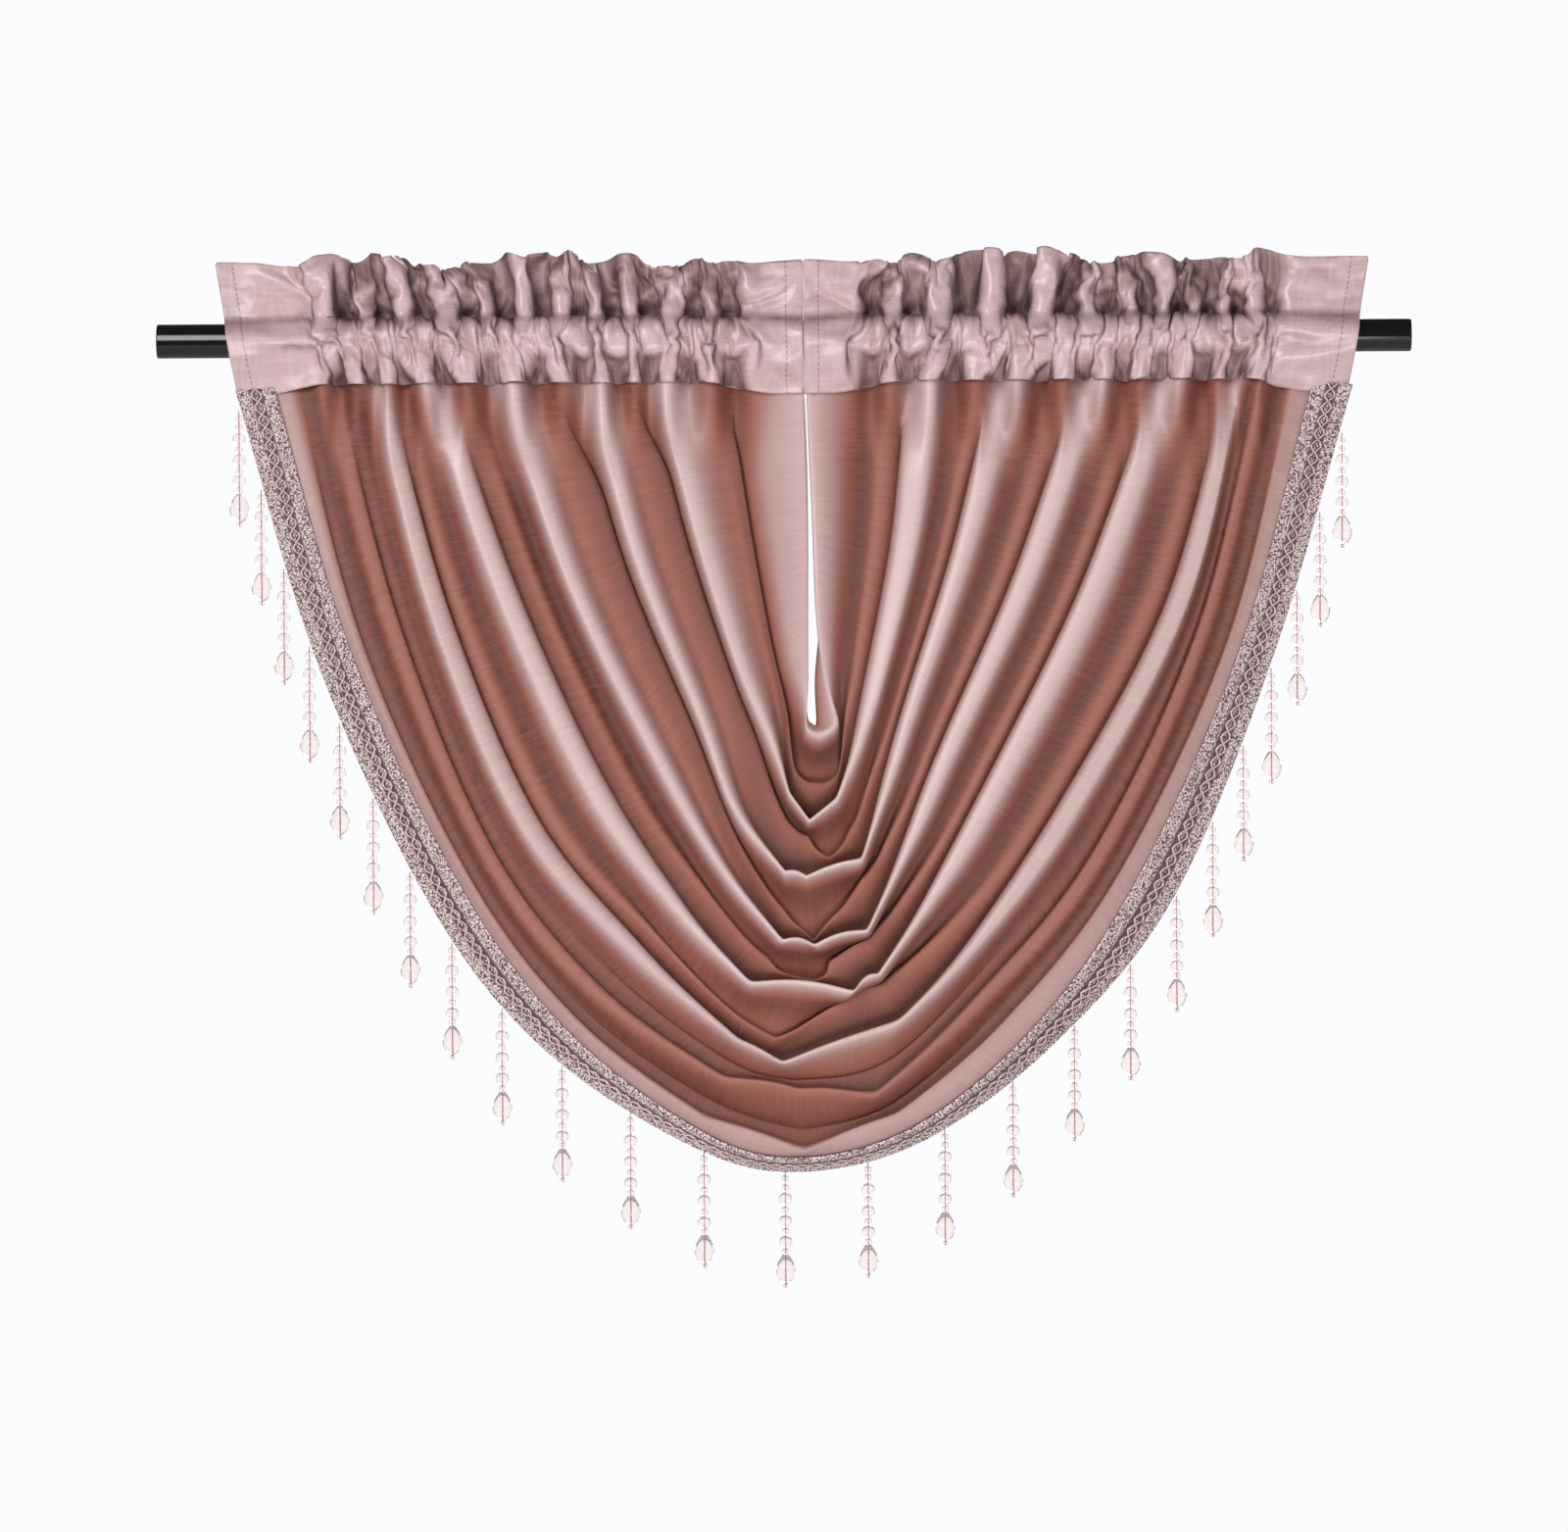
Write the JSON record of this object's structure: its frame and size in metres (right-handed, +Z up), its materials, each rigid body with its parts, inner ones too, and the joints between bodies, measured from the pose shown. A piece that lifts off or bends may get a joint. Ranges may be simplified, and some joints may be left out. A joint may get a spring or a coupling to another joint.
{
  "type": "beaded valance on a curtain rod",
  "caption": "Satin swag valance with a centre slit, gathered rod-pocket headings, a braided curved edge and hanging bead drops, on a plain rod.",
  "frame": {"origin": "on the rod's axis, where the left and right halves of the heading are centred", "axes": "+X along the rod to the right as seen from the room, +Z up, -Y towards the room"},
  "size_m": [0.815, 0.0763, 0.6674],
  "materials": {
    "rod": "gloss black",
    "satin": "two-tone satin, mauve on the crests and copper brown in the folds",
    "braid": "matt woven gimp braid, mauve grey",
    "beads": "clear acrylic, pale pink"
  },
  "bodies": {
    "root": {"rod": "rod", "heading_left": "satin", "heading_right": "satin", "swag": "satin", "braid": "braid", "bead_fringe": "beads"}
  },
  "joints": []
}
